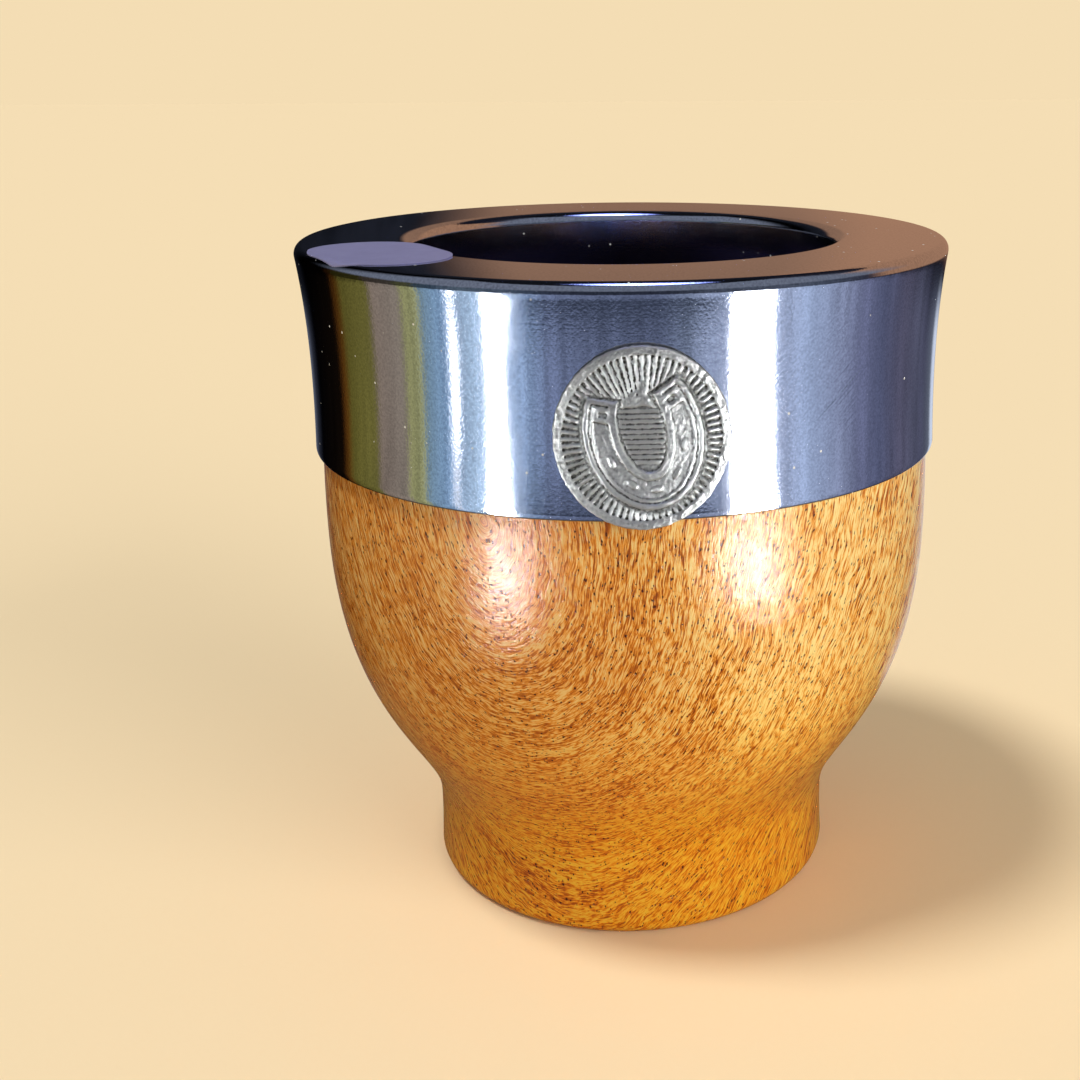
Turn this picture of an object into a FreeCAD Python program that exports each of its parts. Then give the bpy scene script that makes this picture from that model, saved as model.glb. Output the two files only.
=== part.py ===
"""Turned wooden mate cup with a formed steel collar, a horseshoe medallion and a paper label.

Millimetres, +Z up. The origin is the centre of the foot, and the medallion faces -Y.
"""
import FreeCAD, Part
import math
import os

from FreeCAD import Vector

# Whole cup
CUP_HEIGHT = 95.0

# Wooden bowl, outside
FOOT_R = 30.5
FOOT_EDGE_R = 1.6         # rounding of the foot's edge
NECK_R = 30.2
NECK_Z = 10.0
NECK_PULL = 12.2          # how far the neck's upright tangent reaches up
BELLY_R = 43.8
BELLY_Z = 55.0
BELLY_PULL = 29.8         # how far the belly's upright tangent reaches down
SHOULDER_R = BELLY_R - 0.35   # where the wood meets the collar's foot

# Wooden bowl, inside
CAVITY_R = 29.3           # under the collar's lip
CAVITY_BOTTOM_R = 27.0    # radius of the round bottom
CAVITY_FLOOR_Z = 20.0
SPIGOT_CHAMFER = 0.4

# Steel collar, formed from one sheet
SHEET = 0.9
RIM_R = BELLY_R + 1.2
RIM_BEND_R = 1.3          # outside radius of the bend between rim and skirt
FLARE_DEG = 7.5           # lean of the skirt just under the rim
SKIRT_HEIGHT = 28.0
SKIRT_FOOT_R = BELLY_R + 0.6
SKIRT_FOOT_DEG = 3.0      # lean of the skirt at its foot
SKIRT_EDGE_CHAMFER = 0.25
MOUTH_R = 29.6
MOUTH_BEND_R = 1.6        # outside radius of the bend between rim and lip
LIP_DEPTH = 10.0

# Fits between wood and collar
SLIP_FIT = 0.05           # radial clearance of the spigot and of the lip's rebate
SHOULDER_GAP = 0.15       # shadow line under the skirt, and play under the lip

# Medallion, an oval plate curved to the skirt
MEDAL_WIDTH = 20.6
MEDAL_HEIGHT = 21.7
MEDAL_DROP = 17.85        # from the top of the cup down to the medallion's centre
MEDAL_PLATE = 0.5
GLUE_GAP = 0.03
MEDAL_RIM_WIDTH = 1.0
MEDAL_RIM_RISE = 0.3

# Rays between the medallion's rim and the horseshoe
RAY_COUNT = 72
RAY_WIDTH = 0.4
RAY_TIP_WIDTH = 0.22
RAY_RISE = 0.24
RAY_CLEAR = 0.45          # bare band between the rays and what they run up to
FAN_DEPTH = 6.4           # how far the longest rays reach in from the rim

# Horseshoe, in its own frame, leaning back to the left
SHOE_X = 0.45
SHOE_Z = -1.0
SHOE_TILT_DEG = 13.0
SHOE_OUT_RX = 6.9
SHOE_OUT_RZ = 9.0
SHOE_OUT_Z = 1.5
SHOE_IN_RX = 2.7
SHOE_IN_RZ = 5.3
SHOE_IN_Z = 2.35
HEEL_Z = 5.2              # where the two heel cuts would meet over the middle
HEEL_DEG = 22.0
SHOE_RISE = 0.14
BORDER_INSET = 0.06
BORDER_OUT_WIDTH = 0.55
BORDER_IN_WIDTH = 0.9
BORDER_RISE = 0.38
LINE_INSET = 0.95
LINE_WIDTH = 0.24
LINE_RISE = 0.28

# Framed nail holes at the heels and bosses along the channel
FRAME_X = 4.0
FRAME_Z = 4.9
FRAME_WIDTH = 1.9
FRAME_HEIGHT = 1.7
FRAME_HOLE_WIDTH = 1.1
FRAME_HOLE_HEIGHT = 0.7
FRAME_RISE = 0.36
BOSS_TURNS_DEG = (-158, -125, -90, -55, -22)
BOSS_LENGTH = 1.35
BOSS_WIDTH = 0.6
BOSS_RISE = 0.3

# Hatching inside the horseshoe
HATCH_COUNT = 11
HATCH_PITCH = 0.6
HATCH_WIDTH = 0.26
HATCH_TOP_Z = 3.3
HATCH_RISE = 0.14
HATCH_INSET = 0.3

# Paper label, stuck on the rim between the mouth and the bend to the skirt
LABEL_TURN_DEG = -60.0    # from the front towards -X
LABEL_WIDTH = 22.6
LABEL_CORNER_R = 7.6
LABEL_SKEW_DEG = -3.0
LABEL_PAST_MOUTH = 0.8    # how far it lies in over the open mouth
LABEL_PAST_RIM = -0.65    # and out past the rim; below zero it stops on the bend
LABEL_SHEET = 0.12
LABEL_GLUE = 0.02

BEND_FLATS = 3            # conical flats that a small bend or rounding is made of

# Reach of the helper prisms that cut curved plates out of tubes
PRISM_NEAR = 30.0
PRISM_FAR = 60.0
BITE = 0.12               # how far a raised form sinks into the plate under it

SKIRT_FOOT_Z = CUP_HEIGHT - SKIRT_HEIGHT
MEDAL_Z = CUP_HEIGHT - MEDAL_DROP


def at(radius, height):
    """Point of a turned section."""
    return Vector(radius, 0, height)


def line(start, end):
    """Straight edge."""
    return Part.makeLine(start, end)


def arc(centre, radius, start_deg, end_deg):
    """Edge along a circle in the section's plane, counted from +X towards +Z."""
    turns = (start_deg, (start_deg + end_deg) / 2, end_deg)
    points = [centre + radius * direction(turn) for turn in turns]
    return Part.Arc(*points).toShape()


def direction(degrees):
    """Unit vector in the section's plane, from +X towards +Z."""
    angle = math.radians(degrees)
    return Vector(math.cos(angle), 0, math.sin(angle))


def bezier(*poles):
    """Smooth edge that leaves its first pole towards the second, and so on at its end."""
    curve = Part.BezierCurve()
    curve.setPoles(list(poles))
    return curve.toShape()


def turned(edges):
    """Solid of revolution about Z of a closed section."""
    section = Part.Face(Part.Wire(edges))
    return section.revolve(Vector(0, 0, 0), Vector(0, 0, 1), 360)


def path(points):
    """Straight edges from point to point."""
    return [line(start, end) for start, end in zip(points, points[1:])]


def rounding(centre, radius, start_deg, end_deg):
    """Points of a small rounding, whose flats stay within 0.06 mm of the true arc."""
    step_deg = (end_deg - start_deg) / BEND_FLATS
    return [centre + radius * direction(start_deg + step_deg * number) for number in range(BEND_FLATS + 1)]


def rim_bend(offset):
    """Points of the bend from the flare up to the rim, moved outwards by offset."""
    centre = at(RIM_R - RIM_BEND_R, CUP_HEIGHT - RIM_BEND_R)
    return rounding(centre, RIM_BEND_R + offset, -FLARE_DEG, 90)


def mouth_bend(offset):
    """Points of the bend from the rim down to the lip, moved outwards by offset."""
    centre = at(MOUTH_R + MOUTH_BEND_R, CUP_HEIGHT - MOUTH_BEND_R)
    return rounding(centre, MOUTH_BEND_R + offset, 90, 180)


def skirt_edge(offset):
    """Skirt's profile from foot to flare, moved out of its outer face by offset."""
    foot = at(SKIRT_FOOT_R + offset, SKIRT_FOOT_Z + SKIRT_EDGE_CHAMFER)
    top = rim_bend(0)[0] + Vector(offset, 0, 0)
    reach = (top.z - foot.z) / 3
    lower = foot + reach * direction(90 + SKIRT_FOOT_DEG)
    upper = top - reach * direction(90 - FLARE_DEG)
    return bezier(foot, lower, upper, top)


def radii(edge, low_z, high_z):
    """Radii at even steps along an edge, between two heights."""
    first, last = edge.ParameterRange
    steps = 60
    points = [edge.valueAt(first + (last - first) * step / steps) for step in range(steps + 1)]
    return [point.x for point in points if low_z <= point.z <= high_z]


def steel_collar():
    """Skirt, flat rim and lip of one formed sheet."""
    outer = skirt_edge(0)
    inner = skirt_edge(-SHEET)
    inner_foot = inner.Vertexes[0].Point
    inner_top = inner.Vertexes[-1].Point
    foot_corner = at(SKIRT_FOOT_R - SKIRT_EDGE_CHAMFER, SKIRT_FOOT_Z)
    lip_z = CUP_HEIGHT - LIP_DEPTH
    under_z = CUP_HEIGHT - SHEET
    lip_and_underside = [
        at(MOUTH_R, lip_z),
        at(MOUTH_R + SHEET, lip_z),
        at(MOUTH_R + SHEET, under_z),
        at(inner_top.x, under_z),
        inner_top,
    ]
    edges = [
        outer,
        *path(rim_bend(0) + mouth_bend(0) + lip_and_underside),
        inner,
        *path([inner_foot, at(inner_foot.x, SKIRT_FOOT_Z), foot_corner, outer.Vertexes[0].Point]),
    ]
    return turned(edges)


def cavity_edges(top):
    """Tapered wall of the cavity and its round bottom, from the point at the lip down to the axis."""
    centre = at(0, CAVITY_FLOOR_Z + CAVITY_BOTTOM_R)
    to_top = top - centre
    lift_deg = math.degrees(math.atan2(to_top.z, to_top.x))
    touch_deg = lift_deg - math.degrees(math.acos(CAVITY_BOTTOM_R / to_top.Length))
    touch = centre + CAVITY_BOTTOM_R * direction(touch_deg)
    return [line(top, touch), arc(centre, CAVITY_BOTTOM_R, touch_deg, -90)]


def wood_bowl():
    """Turned bowl: foot, neck, belly, spigot for the skirt, rebate for the lip, and cavity."""
    shoulder_z = SKIRT_FOOT_Z - SHOULDER_GAP
    top_z = CUP_HEIGHT - SHEET
    spigot_r = min(radii(skirt_edge(-SHEET), 0, CUP_HEIGHT)) - SLIP_FIT
    rebate_r = MOUTH_R + SHEET + SLIP_FIT
    rebate_z = CUP_HEIGHT - LIP_DEPTH - SHOULDER_GAP
    foot_edge = rounding(at(FOOT_R - FOOT_EDGE_R, FOOT_EDGE_R), FOOT_EDGE_R, -90, 0)
    spigot_and_rebate = [
        at(SHOULDER_R, shoulder_z),
        at(spigot_r, shoulder_z),
        at(spigot_r, top_z - SPIGOT_CHAMFER),
        at(spigot_r - SPIGOT_CHAMFER, top_z),
        at(rebate_r + SPIGOT_CHAMFER, top_z),
        at(rebate_r, top_z - SPIGOT_CHAMFER),
        at(rebate_r, rebate_z),
        at(CAVITY_R, rebate_z),
    ]
    edges = [
        *path([at(0, 0), *foot_edge]),
        bezier(at(FOOT_R, FOOT_EDGE_R), at(NECK_R, (FOOT_EDGE_R + NECK_Z) / 2), at(NECK_R, NECK_Z)),
        bezier(at(NECK_R, NECK_Z), at(NECK_R, NECK_Z + NECK_PULL),
               at(BELLY_R, BELLY_Z - BELLY_PULL), at(BELLY_R, BELLY_Z)),
        bezier(at(BELLY_R, BELLY_Z), at(BELLY_R, (BELLY_Z + shoulder_z) / 2), at(SHOULDER_R, shoulder_z)),
        *path(spigot_and_rebate),
        *cavity_edges(spigot_and_rebate[-1]),
        line(at(0, CAVITY_FLOOR_Z), at(0, 0)),
    ]
    return turned(edges)


def oval(x, z, half_width, half_height):
    """Filled oval in the medallion's flat drawing."""
    centre = Vector(x, 0, z)
    side = centre + Vector(half_width, 0, 0)
    top = centre + Vector(0, 0, half_height)
    ends = (top, side) if half_height > half_width else (side, top)
    return Part.Face(Part.Wire([Part.Ellipse(*ends, centre).toShape()]))


def polygon(*points):
    """Filled polygon in the medallion's flat drawing, from (x, z) pairs."""
    corners = [Vector(x, 0, z) for x, z in points]
    return Part.Face(Part.makePolygon(corners + corners[:1]))


def box(width, height):
    """Filled rectangle about the drawing's middle."""
    half_x, half_z = width / 2, height / 2
    return polygon((-half_x, -half_z), (half_x, -half_z), (half_x, half_z), (-half_x, half_z))


def set_down(face, x, z, turn_deg):
    """Copy of a face, turned from +X towards +Z and moved to its place."""
    placed = face.copy()
    placed.rotate(Vector(0, 0, 0), Vector(0, -1, 0), turn_deg)
    placed.translate(Vector(x, 0, z))
    return placed


def shoe_outline(inset_out, inset_in):
    """Band of the horseshoe with both edges moved in, in the horseshoe's own frame."""
    slope = math.tan(math.radians(HEEL_DEG))
    wide = MEDAL_WIDTH
    lowest = HEEL_Z - inset_out
    below_cut = polygon((0, lowest), (wide, lowest + wide * slope), (wide, -wide), (-wide, -wide),
                        (-wide, lowest + wide * slope))
    outside = oval(0, SHOE_OUT_Z, SHOE_OUT_RX - inset_out, SHOE_OUT_RZ - inset_out)
    inside = oval(0, SHOE_IN_Z, SHOE_IN_RX + inset_in, SHOE_IN_RZ + inset_in)
    return outside.cut(inside).common(below_cut)


def in_medal(face):
    """Face drawn in the horseshoe's frame, brought into the medallion's."""
    return set_down(face, SHOE_X, SHOE_Z, SHOE_TILT_DEG)


def shoe_borders():
    """Raised edges of the horseshoe, round its outside, its mouth and its heels."""
    full = shoe_outline(BORDER_INSET, BORDER_INSET)
    channel = shoe_outline(BORDER_INSET + BORDER_OUT_WIDTH, BORDER_INSET + BORDER_IN_WIDTH)
    return in_medal(full.cut(channel))


def shoe_line():
    """Thin line that runs inside the outer border."""
    outside = shoe_outline(LINE_INSET, BORDER_IN_WIDTH)
    inside = shoe_outline(LINE_INSET + LINE_WIDTH, 0)
    return in_medal(outside.cut(inside))


def heel_frames():
    """Square frames round the two nail holes at the heels."""
    frame = box(FRAME_WIDTH, FRAME_HEIGHT).cut(box(FRAME_HOLE_WIDTH, FRAME_HOLE_HEIGHT))
    left = set_down(frame, -FRAME_X, FRAME_Z, -HEEL_DEG)
    right = set_down(frame, FRAME_X, FRAME_Z, HEEL_DEG)
    return [in_medal(left), in_medal(right)]


def channel_bosses():
    """Oval bosses along the channel between the horseshoe's borders."""
    mid_rx = (SHOE_OUT_RX - LINE_INSET - LINE_WIDTH + SHOE_IN_RX + BORDER_IN_WIDTH) / 2
    mid_rz = (SHOE_OUT_RZ - LINE_INSET - LINE_WIDTH + SHOE_IN_RZ + BORDER_IN_WIDTH) / 2
    mid_z = (SHOE_OUT_Z + SHOE_IN_Z) / 2
    bosses = []
    for turn_deg in BOSS_TURNS_DEG:
        turn = math.radians(turn_deg)
        x = mid_rx * math.cos(turn)
        z = mid_z + mid_rz * math.sin(turn)
        along_deg = math.degrees(math.atan2(mid_rz * math.cos(turn), -mid_rx * math.sin(turn)))
        boss = set_down(oval(0, 0, BOSS_LENGTH / 2, BOSS_WIDTH / 2), x, z, along_deg)
        bosses.append(in_medal(boss))
    return bosses


def rays():
    """Rays that run in from the rim, each cut short where the horseshoe or the hatching begins."""
    half_x = MEDAL_WIDTH / 2 - MEDAL_RIM_WIDTH / 2
    half_z = MEDAL_HEIGHT / 2 - MEDAL_RIM_WIDTH / 2
    inner = FAN_DEPTH / half_z
    strips = []
    for number in range(RAY_COUNT):
        turn = 2 * math.pi * number / RAY_COUNT
        out = Vector(half_x * math.cos(turn), 0, half_z * math.sin(turn))
        tip = out * (1 - inner)
        side = Vector(-out.z, 0, out.x).normalize()
        corners = [out + side * RAY_WIDTH / 2, out - side * RAY_WIDTH / 2,
                   tip - side * RAY_TIP_WIDTH / 2, tip + side * RAY_TIP_WIDTH / 2]
        strips.append(polygon(*[(corner.x, corner.z) for corner in corners]))
    stop = in_medal(shoe_outline(-RAY_CLEAR, -RAY_CLEAR))
    mouth = in_medal(oval(0, SHOE_IN_Z, SHOE_IN_RX, SHOE_IN_RZ))
    below_fan = polygon((-MEDAL_WIDTH, HATCH_TOP_Z + RAY_CLEAR), (MEDAL_WIDTH, HATCH_TOP_Z + RAY_CLEAR),
                        (MEDAL_WIDTH, -MEDAL_HEIGHT), (-MEDAL_WIDTH, -MEDAL_HEIGHT))
    return Part.makeCompound(strips).cut([stop, mouth.common(below_fan)]).Faces


def hatching():
    """Lines across the field inside the horseshoe."""
    field = in_medal(oval(0, SHOE_IN_Z, SHOE_IN_RX - HATCH_INSET, SHOE_IN_RZ - HATCH_INSET))
    strips = [set_down(box(MEDAL_WIDTH, HATCH_WIDTH), 0, HATCH_TOP_Z - number * HATCH_PITCH, 0)
              for number in range(HATCH_COUNT)]
    return Part.makeCompound(strips).common(field).Faces


def tube(inner_r, outer_r):
    """Tube about Z that is longer than the cup."""
    wall = Part.makeCylinder(outer_r, CUP_HEIGHT)
    return wall.cut(Part.makeCylinder(inner_r, CUP_HEIGHT))


def curved_form(drawing, inner_r, outer_r):
    """Wide form of the medallion, cut out of a tube so that it follows the skirt."""
    solid = drawing.extrude(Vector(0, PRISM_NEAR - PRISM_FAR, 0))
    solid.translate(Vector(0, -PRISM_NEAR, MEDAL_Z))
    return solid.common(tube(inner_r, outer_r))


def flat_form(face, plate_r, rise):
    """Small form of the medallion, set square on the curved plate where it lies."""
    across = face.CenterOfMass.x
    solid = face.copy()
    solid.translate(Vector(-across, BITE - plate_r, MEDAL_Z))
    solid = solid.extrude(Vector(0, -BITE - rise, 0))
    solid.rotate(Vector(0, 0, 0), Vector(0, 0, 1), math.degrees(math.asin(across / plate_r)))
    return solid


def horseshoe_medallion():
    """Curved oval plate with a raised rim, rays, a horseshoe and hatching."""
    low_z = MEDAL_Z - MEDAL_HEIGHT / 2
    high_z = MEDAL_Z + MEDAL_HEIGHT / 2
    back_r = max(radii(skirt_edge(0), low_z, high_z)) + GLUE_GAP
    plate_r = back_r + MEDAL_PLATE
    full = oval(0, 0, MEDAL_WIDTH / 2, MEDAL_HEIGHT / 2)
    well = oval(0, 0, MEDAL_WIDTH / 2 - MEDAL_RIM_WIDTH, MEDAL_HEIGHT / 2 - MEDAL_RIM_WIDTH)
    wide = [
        (full.cut(well), MEDAL_RIM_RISE),
        (in_medal(shoe_outline(0, 0)), SHOE_RISE),
        (shoe_borders(), BORDER_RISE),
        (shoe_line(), LINE_RISE),
    ]
    small = [
        (rays(), RAY_RISE),
        (heel_frames(), FRAME_RISE),
        (channel_bosses(), BOSS_RISE),
        (hatching(), HATCH_RISE),
    ]
    forms = [curved_form(drawing, plate_r - BITE, plate_r + rise) for drawing, rise in wide]
    forms += [flat_form(face, plate_r, rise) for drawings, rise in small for face in drawings]
    return curved_form(full, back_r, plate_r).fuse(forms)


def label_face(height):
    """Points across the rim at a height over the steel, from the skirt's flare to over the open mouth."""
    inner_r = MOUTH_R - LABEL_PAST_MOUTH - MOUTH_BEND_R
    return [*rim_bend(height), at(inner_r, CUP_HEIGHT + height)]


def label_strip():
    """Turned strip of paper over the whole rim, which the label's outline is then cut from."""
    under = label_face(LABEL_GLUE)
    over = label_face(LABEL_GLUE + LABEL_SHEET)
    return turned(path([*over, *reversed(under), over[0]]))


def price_label():
    """Blank label with rounded corners, flat on the rim and bent a little over its outer edge."""
    from_r = MOUTH_R - LABEL_PAST_MOUTH
    length = RIM_R + LABEL_PAST_RIM - from_r
    outline = Part.makeBox(length, LABEL_WIDTH, CUP_HEIGHT, Vector(from_r, -LABEL_WIDTH / 2, SKIRT_FOOT_Z))
    upright = [edge for edge in outline.Edges if abs(edge.Vertexes[0].Z - edge.Vertexes[-1].Z) > SKIRT_HEIGHT]
    outline = outline.makeFillet(LABEL_CORNER_R, upright)
    outline.rotate(Vector(from_r + length / 2, 0, 0), Vector(0, 0, 1), LABEL_SKEW_DEG)
    outline.rotate(Vector(0, 0, 0), Vector(0, 0, 1), LABEL_TURN_DEG - 90)
    return label_strip().common(outline)


def main():
    """Build each piece and write it to its own file."""
    os.makedirs("parts", exist_ok=True)
    pieces = {
        "wood_bowl": wood_bowl(),
        "steel_collar": steel_collar(),
        "horseshoe_medallion": horseshoe_medallion(),
        "price_label": price_label(),
    }
    for name, shape in pieces.items():
        solid = shape.Solids[0] if len(shape.Solids) == 1 else shape
        solid.exportStep(f"parts/{name}.step")
        size = solid.BoundBox
        print(f"{name}: {len(shape.Solids)} solid, valid {solid.isValid()}, {solid.Volume:.1f} mm3, "
              f"{size.XMin:.2f} to {size.XMax:.2f}, {size.YMin:.2f} to {size.YMax:.2f}, "
              f"{size.ZMin:.2f} to {size.ZMax:.2f}")


if __name__ == "__main__":
    main()
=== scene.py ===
"""Looks of the mate cup: a varnished turned bowl, a polished steel collar, a struck medallion and a label.

Sizes in the classes are millimetres in the part's own frame, with +Z up and the medallion facing -Y.
Directions in the room and of the lights are degrees from the front, -Y, towards +X.
"""
import logging
import math
from dataclasses import dataclass, field
from enum import Enum

import bpy
from mathutils import Matrix, Vector


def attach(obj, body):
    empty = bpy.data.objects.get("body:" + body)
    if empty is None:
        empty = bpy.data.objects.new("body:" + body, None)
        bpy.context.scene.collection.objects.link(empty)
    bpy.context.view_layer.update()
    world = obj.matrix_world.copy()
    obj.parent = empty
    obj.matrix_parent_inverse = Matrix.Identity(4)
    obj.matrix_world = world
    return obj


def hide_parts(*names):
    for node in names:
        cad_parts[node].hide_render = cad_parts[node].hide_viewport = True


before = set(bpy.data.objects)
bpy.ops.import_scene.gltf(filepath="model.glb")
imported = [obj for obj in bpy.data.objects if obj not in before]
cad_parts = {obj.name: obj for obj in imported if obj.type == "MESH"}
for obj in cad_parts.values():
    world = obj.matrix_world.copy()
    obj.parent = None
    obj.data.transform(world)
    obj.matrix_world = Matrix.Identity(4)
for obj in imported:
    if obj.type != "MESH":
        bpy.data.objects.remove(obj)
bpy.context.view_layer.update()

LOG = logging.getLogger("mate_cup")
MM = 0.001
PHOTO_PIXELS = 1080
TURN_STEPS = 288          # facets round a turned piece
SHARP_DEG = 40            # edges of a turned piece that turn more than this stay sharp

Point = tuple[float, float]
Place = tuple[float, float, float]
Tree = bpy.types.NodeTree
Socket = bpy.types.NodeSocket


class Slot(Enum):
    """Names of the record's material slots; nothing in this script uses them."""

    VARNISHED_WOOD = "varnished_wood"
    POLISHED_STEEL = "polished_steel"
    NICKEL_SILVER = "nickel_silver"
    LABEL_PAPER = "label_paper"


def linear(colour: str) -> tuple[float, float, float, float]:
    """Turn an sRGB hex colour into the linear colour that a socket takes.

    Args:
        colour: six hex digits after a hash sign.

    Returns:
        Red, green, blue and an alpha of 1.
    """
    channels = []
    for start in (1, 3, 5):
        value = int(colour[start:start + 2], 16) / 255
        channels.append(value / 12.92 if value <= 0.04045 else ((value + 0.055) / 1.055) ** 2.4)
    return (*channels, 1.0)


def add_node(tree: Tree, kind: str, inputs: dict | None = None, **settings) -> bpy.types.Node:
    """Add a shader node, set it up and link it.

    Args:
        tree: node tree that gets the node.
        kind: Blender's name of the node type.
        inputs: socket name or number, and the value or the output socket that feeds it.
        settings: properties of the node itself.

    Returns:
        The new node.
    """
    node = tree.nodes.new(kind)
    for name, value in settings.items():
        setattr(node, name, value)
    for name, value in (inputs or {}).items():
        if isinstance(value, Socket):
            tree.links.new(value, node.inputs[name])
        else:
            node.inputs[name].default_value = value
    return node


def set_stops(ramp: bpy.types.ColorRamp, stops: list[tuple[float, str]]) -> None:
    """Give a colour ramp its stops.

    Args:
        ramp: colour ramp of a node.
        stops: place from 0 to 1 and hex colour of each stop.
    """
    while len(ramp.elements) > 1:
        ramp.elements.remove(ramp.elements[-1])
    ramp.elements[0].position = stops[0][0]
    ramp.elements[0].color = linear(stops[0][1])
    for place, colour in stops[1:]:
        ramp.elements.new(place).color = linear(colour)


def new_material(name: str) -> tuple[bpy.types.Material, Tree]:
    """Make an empty node material.

    Args:
        name: what the finish is.

    Returns:
        The material and its node tree, with no nodes in it.
    """
    material = bpy.data.materials.new(name)
    material.use_nodes = True
    material.node_tree.nodes.clear()
    return material, material.node_tree


def object_millimetres(tree: Tree) -> Socket:
    """Add the nodes that give the place on the piece.

    Args:
        tree: node tree that gets them.

    Returns:
        Vector output in millimetres.
    """
    place = add_node(tree, "ShaderNodeTexCoord").outputs["Object"]
    scaled = add_node(tree, "ShaderNodeVectorMath", {0: place, "Scale": 1 / MM}, operation="SCALE")
    return scaled.outputs[0]


def distance_from_z(tree: Tree, place: Socket) -> Socket:
    """Add the nodes that give how far a place lies from the Z axis.

    Args:
        tree: node tree that gets them.
        place: the place.

    Returns:
        Output in the place's own unit.
    """
    flat = add_node(tree, "ShaderNodeVectorMath", {0: place, 1: (1.0, 1.0, 0.0)}, operation="MULTIPLY")
    away = add_node(tree, "ShaderNodeVectorMath", {0: flat.outputs[0]}, operation="LENGTH")
    return away.outputs["Value"]


def deselect() -> None:
    """Leave edit mode and deselect every object."""
    if bpy.context.object and bpy.context.object.mode != "OBJECT":
        bpy.ops.object.mode_set(mode="OBJECT")
    bpy.ops.object.select_all(action="DESELECT")


def on_arc(centre: Point, radius: float, start_deg: float, end_deg: float, steps: int) -> list[Point]:
    """Points along an arc of a section.

    Args:
        centre: radius and height of the arc's centre.
        radius: arc's radius.
        start_deg: first angle, counted from outwards towards up.
        end_deg: last angle.
        steps: number of stretches.

    Returns:
        Points as radius and height.
    """
    turns = [math.radians(start_deg + (end_deg - start_deg) * step / steps) for step in range(steps + 1)]
    return [(centre[0] + radius * math.cos(turn), centre[1] + radius * math.sin(turn)) for turn in turns]


def on_curve(poles: list[Point], steps: int) -> list[Point]:
    """Points along a Bezier curve of a section.

    Args:
        poles: three or four control points as radius and height.
        steps: number of stretches.

    Returns:
        Points as radius and height.
    """
    order = len(poles) - 1
    points = []
    for step in range(steps + 1):
        t = step / steps
        weights = [math.comb(order, n) * (1 - t) ** (order - n) * t ** n for n in range(order + 1)]
        points.append(tuple(sum(w * pole[axis] for w, pole in zip(weights, poles)) for axis in (0, 1)))
    return points


def turn_section(name: str, section: list[Point]) -> bpy.types.Object:
    """Draw a section by extruding one vertex from point to point, and spin it round Z.

    Args:
        name: name of the piece.
        section: radius and height of each point, in order round the solid or from axis to axis.

    Returns:
        The closed, smooth-shaded piece.
    """
    deselect()
    start = Vector((section[0][0], 0, section[0][1])) * MM
    bpy.ops.mesh.primitive_plane_add(size=MM, location=(0, 0, 0))
    piece = bpy.context.object
    piece.name = name
    bpy.ops.object.mode_set(mode="EDIT")
    bpy.ops.mesh.merge(type="CENTER")
    bpy.ops.transform.translate(value=start)
    for before, after in zip(section, section[1:]):
        step = Vector((after[0] - before[0], 0, after[1] - before[1])) * MM
        bpy.ops.mesh.extrude_vertices_move(TRANSFORM_OT_translate={"value": step})
    bpy.ops.mesh.select_all(action="SELECT")
    bpy.ops.mesh.spin(steps=TURN_STEPS, angle=2 * math.pi, center=(0, 0, 0), axis=(0, 0, 1))
    bpy.ops.mesh.select_all(action="SELECT")
    bpy.ops.mesh.remove_doubles(threshold=MM / 1000)
    bpy.ops.mesh.normals_make_consistent(inside=False)
    deselect()
    piece.select_set(True)
    bpy.ops.object.shade_smooth_by_angle(angle=math.radians(SHARP_DEG))
    return piece


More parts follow.
